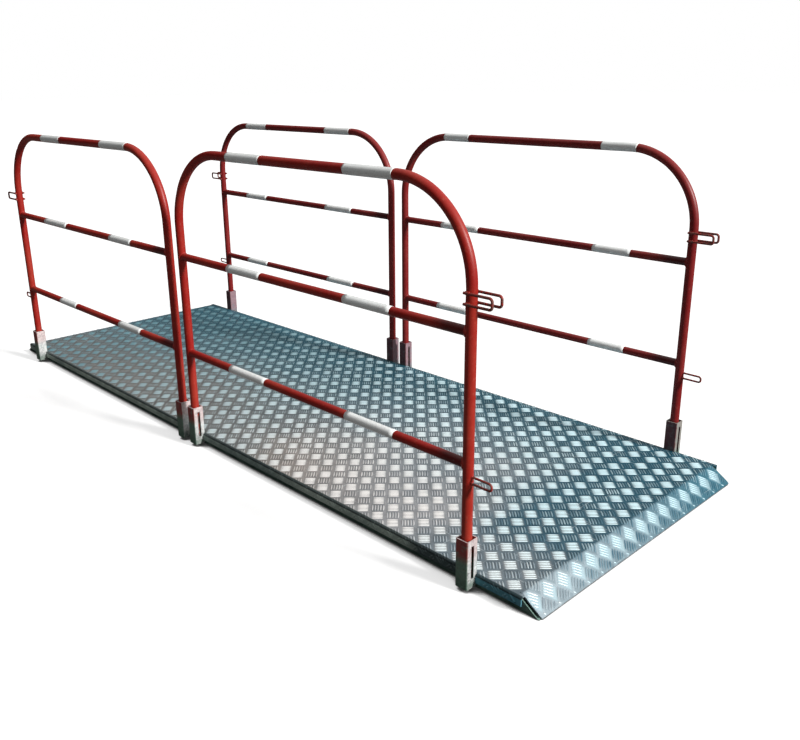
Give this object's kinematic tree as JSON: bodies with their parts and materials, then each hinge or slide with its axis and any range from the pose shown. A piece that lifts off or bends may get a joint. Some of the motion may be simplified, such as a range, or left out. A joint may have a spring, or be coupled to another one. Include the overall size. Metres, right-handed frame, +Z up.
{
  "type": "temporary footbridge",
  "caption": "Low checker-plate footbridge for trenches, with sloped noses and lift-out tubular guard hoops banded red and white.",
  "frame": {"origin": "on the ground under the middle of the deck", "axes": "+X along the walkway, +Y across it, +Z up"},
  "size_m": [3, 1.083, 1.025],
  "materials": {
    "checker_plate": "mill finish, worn",
    "frame_tube": "dull, dirty",
    "socket_steel": "galvanised",
    "guard_paint": "gloss, chipped, with white reflective bands",
    "loop_rod": "rusted paint"
  },
  "bodies": {
    "deck": {"tread_plate": "checker_plate", "side_rail_front": "frame_tube", "side_rail_rear": "frame_tube", "cross_member_1": "frame_tube", "cross_member_2": "frame_tube", "cross_member_3": "frame_tube", "cross_member_4": "frame_tube", "cross_member_5": "frame_tube", "cross_member_6": "frame_tube", "cross_member_7": "frame_tube", "socket_front_left_outer": "socket_steel", "socket_front_left_inner": "socket_steel", "socket_front_right_outer": "socket_steel", "socket_front_right_inner": "socket_steel", "socket_rear_left_outer": "socket_steel", "socket_rear_left_inner": "socket_steel", "socket_rear_right_outer": "socket_steel", "socket_rear_right_inner": "socket_steel"},
    "guard_front_left": {"guard_front_left_hoop": "guard_paint", "guard_front_left_middle_rail": "guard_paint", "guard_front_left_lower_rail": "guard_paint", "guard_front_left_loop_outside": "loop_rod", "guard_front_left_loop_inside": "loop_rod", "guard_front_left_loop_low": "loop_rod"},
    "guard_front_right": {"guard_front_right_hoop": "guard_paint", "guard_front_right_middle_rail": "guard_paint", "guard_front_right_lower_rail": "guard_paint", "guard_front_right_loop_outside": "loop_rod", "guard_front_right_loop_inside": "loop_rod", "guard_front_right_loop_low": "loop_rod"},
    "guard_rear_left": {"guard_rear_left_hoop": "guard_paint", "guard_rear_left_middle_rail": "guard_paint", "guard_rear_left_lower_rail": "guard_paint", "guard_rear_left_loop_outside": "loop_rod", "guard_rear_left_loop_inside": "loop_rod", "guard_rear_left_loop_low": "loop_rod"},
    "guard_rear_right": {"guard_rear_right_hoop": "guard_paint", "guard_rear_right_middle_rail": "guard_paint", "guard_rear_right_lower_rail": "guard_paint", "guard_rear_right_loop_outside": "loop_rod", "guard_rear_right_loop_inside": "loop_rod", "guard_rear_right_loop_low": "loop_rod"}
  },
  "joints": [
    {"name": "lift_front_left", "type": "slide", "parent": "deck", "child": "guard_front_left", "axis": [0, 0, 1], "range_m": [0, 0.155]},
    {"name": "lift_front_right", "type": "slide", "parent": "deck", "child": "guard_front_right", "axis": [0, 0, 1], "range_m": [0, 0.155]},
    {"name": "lift_rear_left", "type": "slide", "parent": "deck", "child": "guard_rear_left", "axis": [0, 0, 1], "range_m": [0, 0.155]},
    {"name": "lift_rear_right", "type": "slide", "parent": "deck", "child": "guard_rear_right", "axis": [0, 0, 1], "range_m": [0, 0.155]}
  ]
}
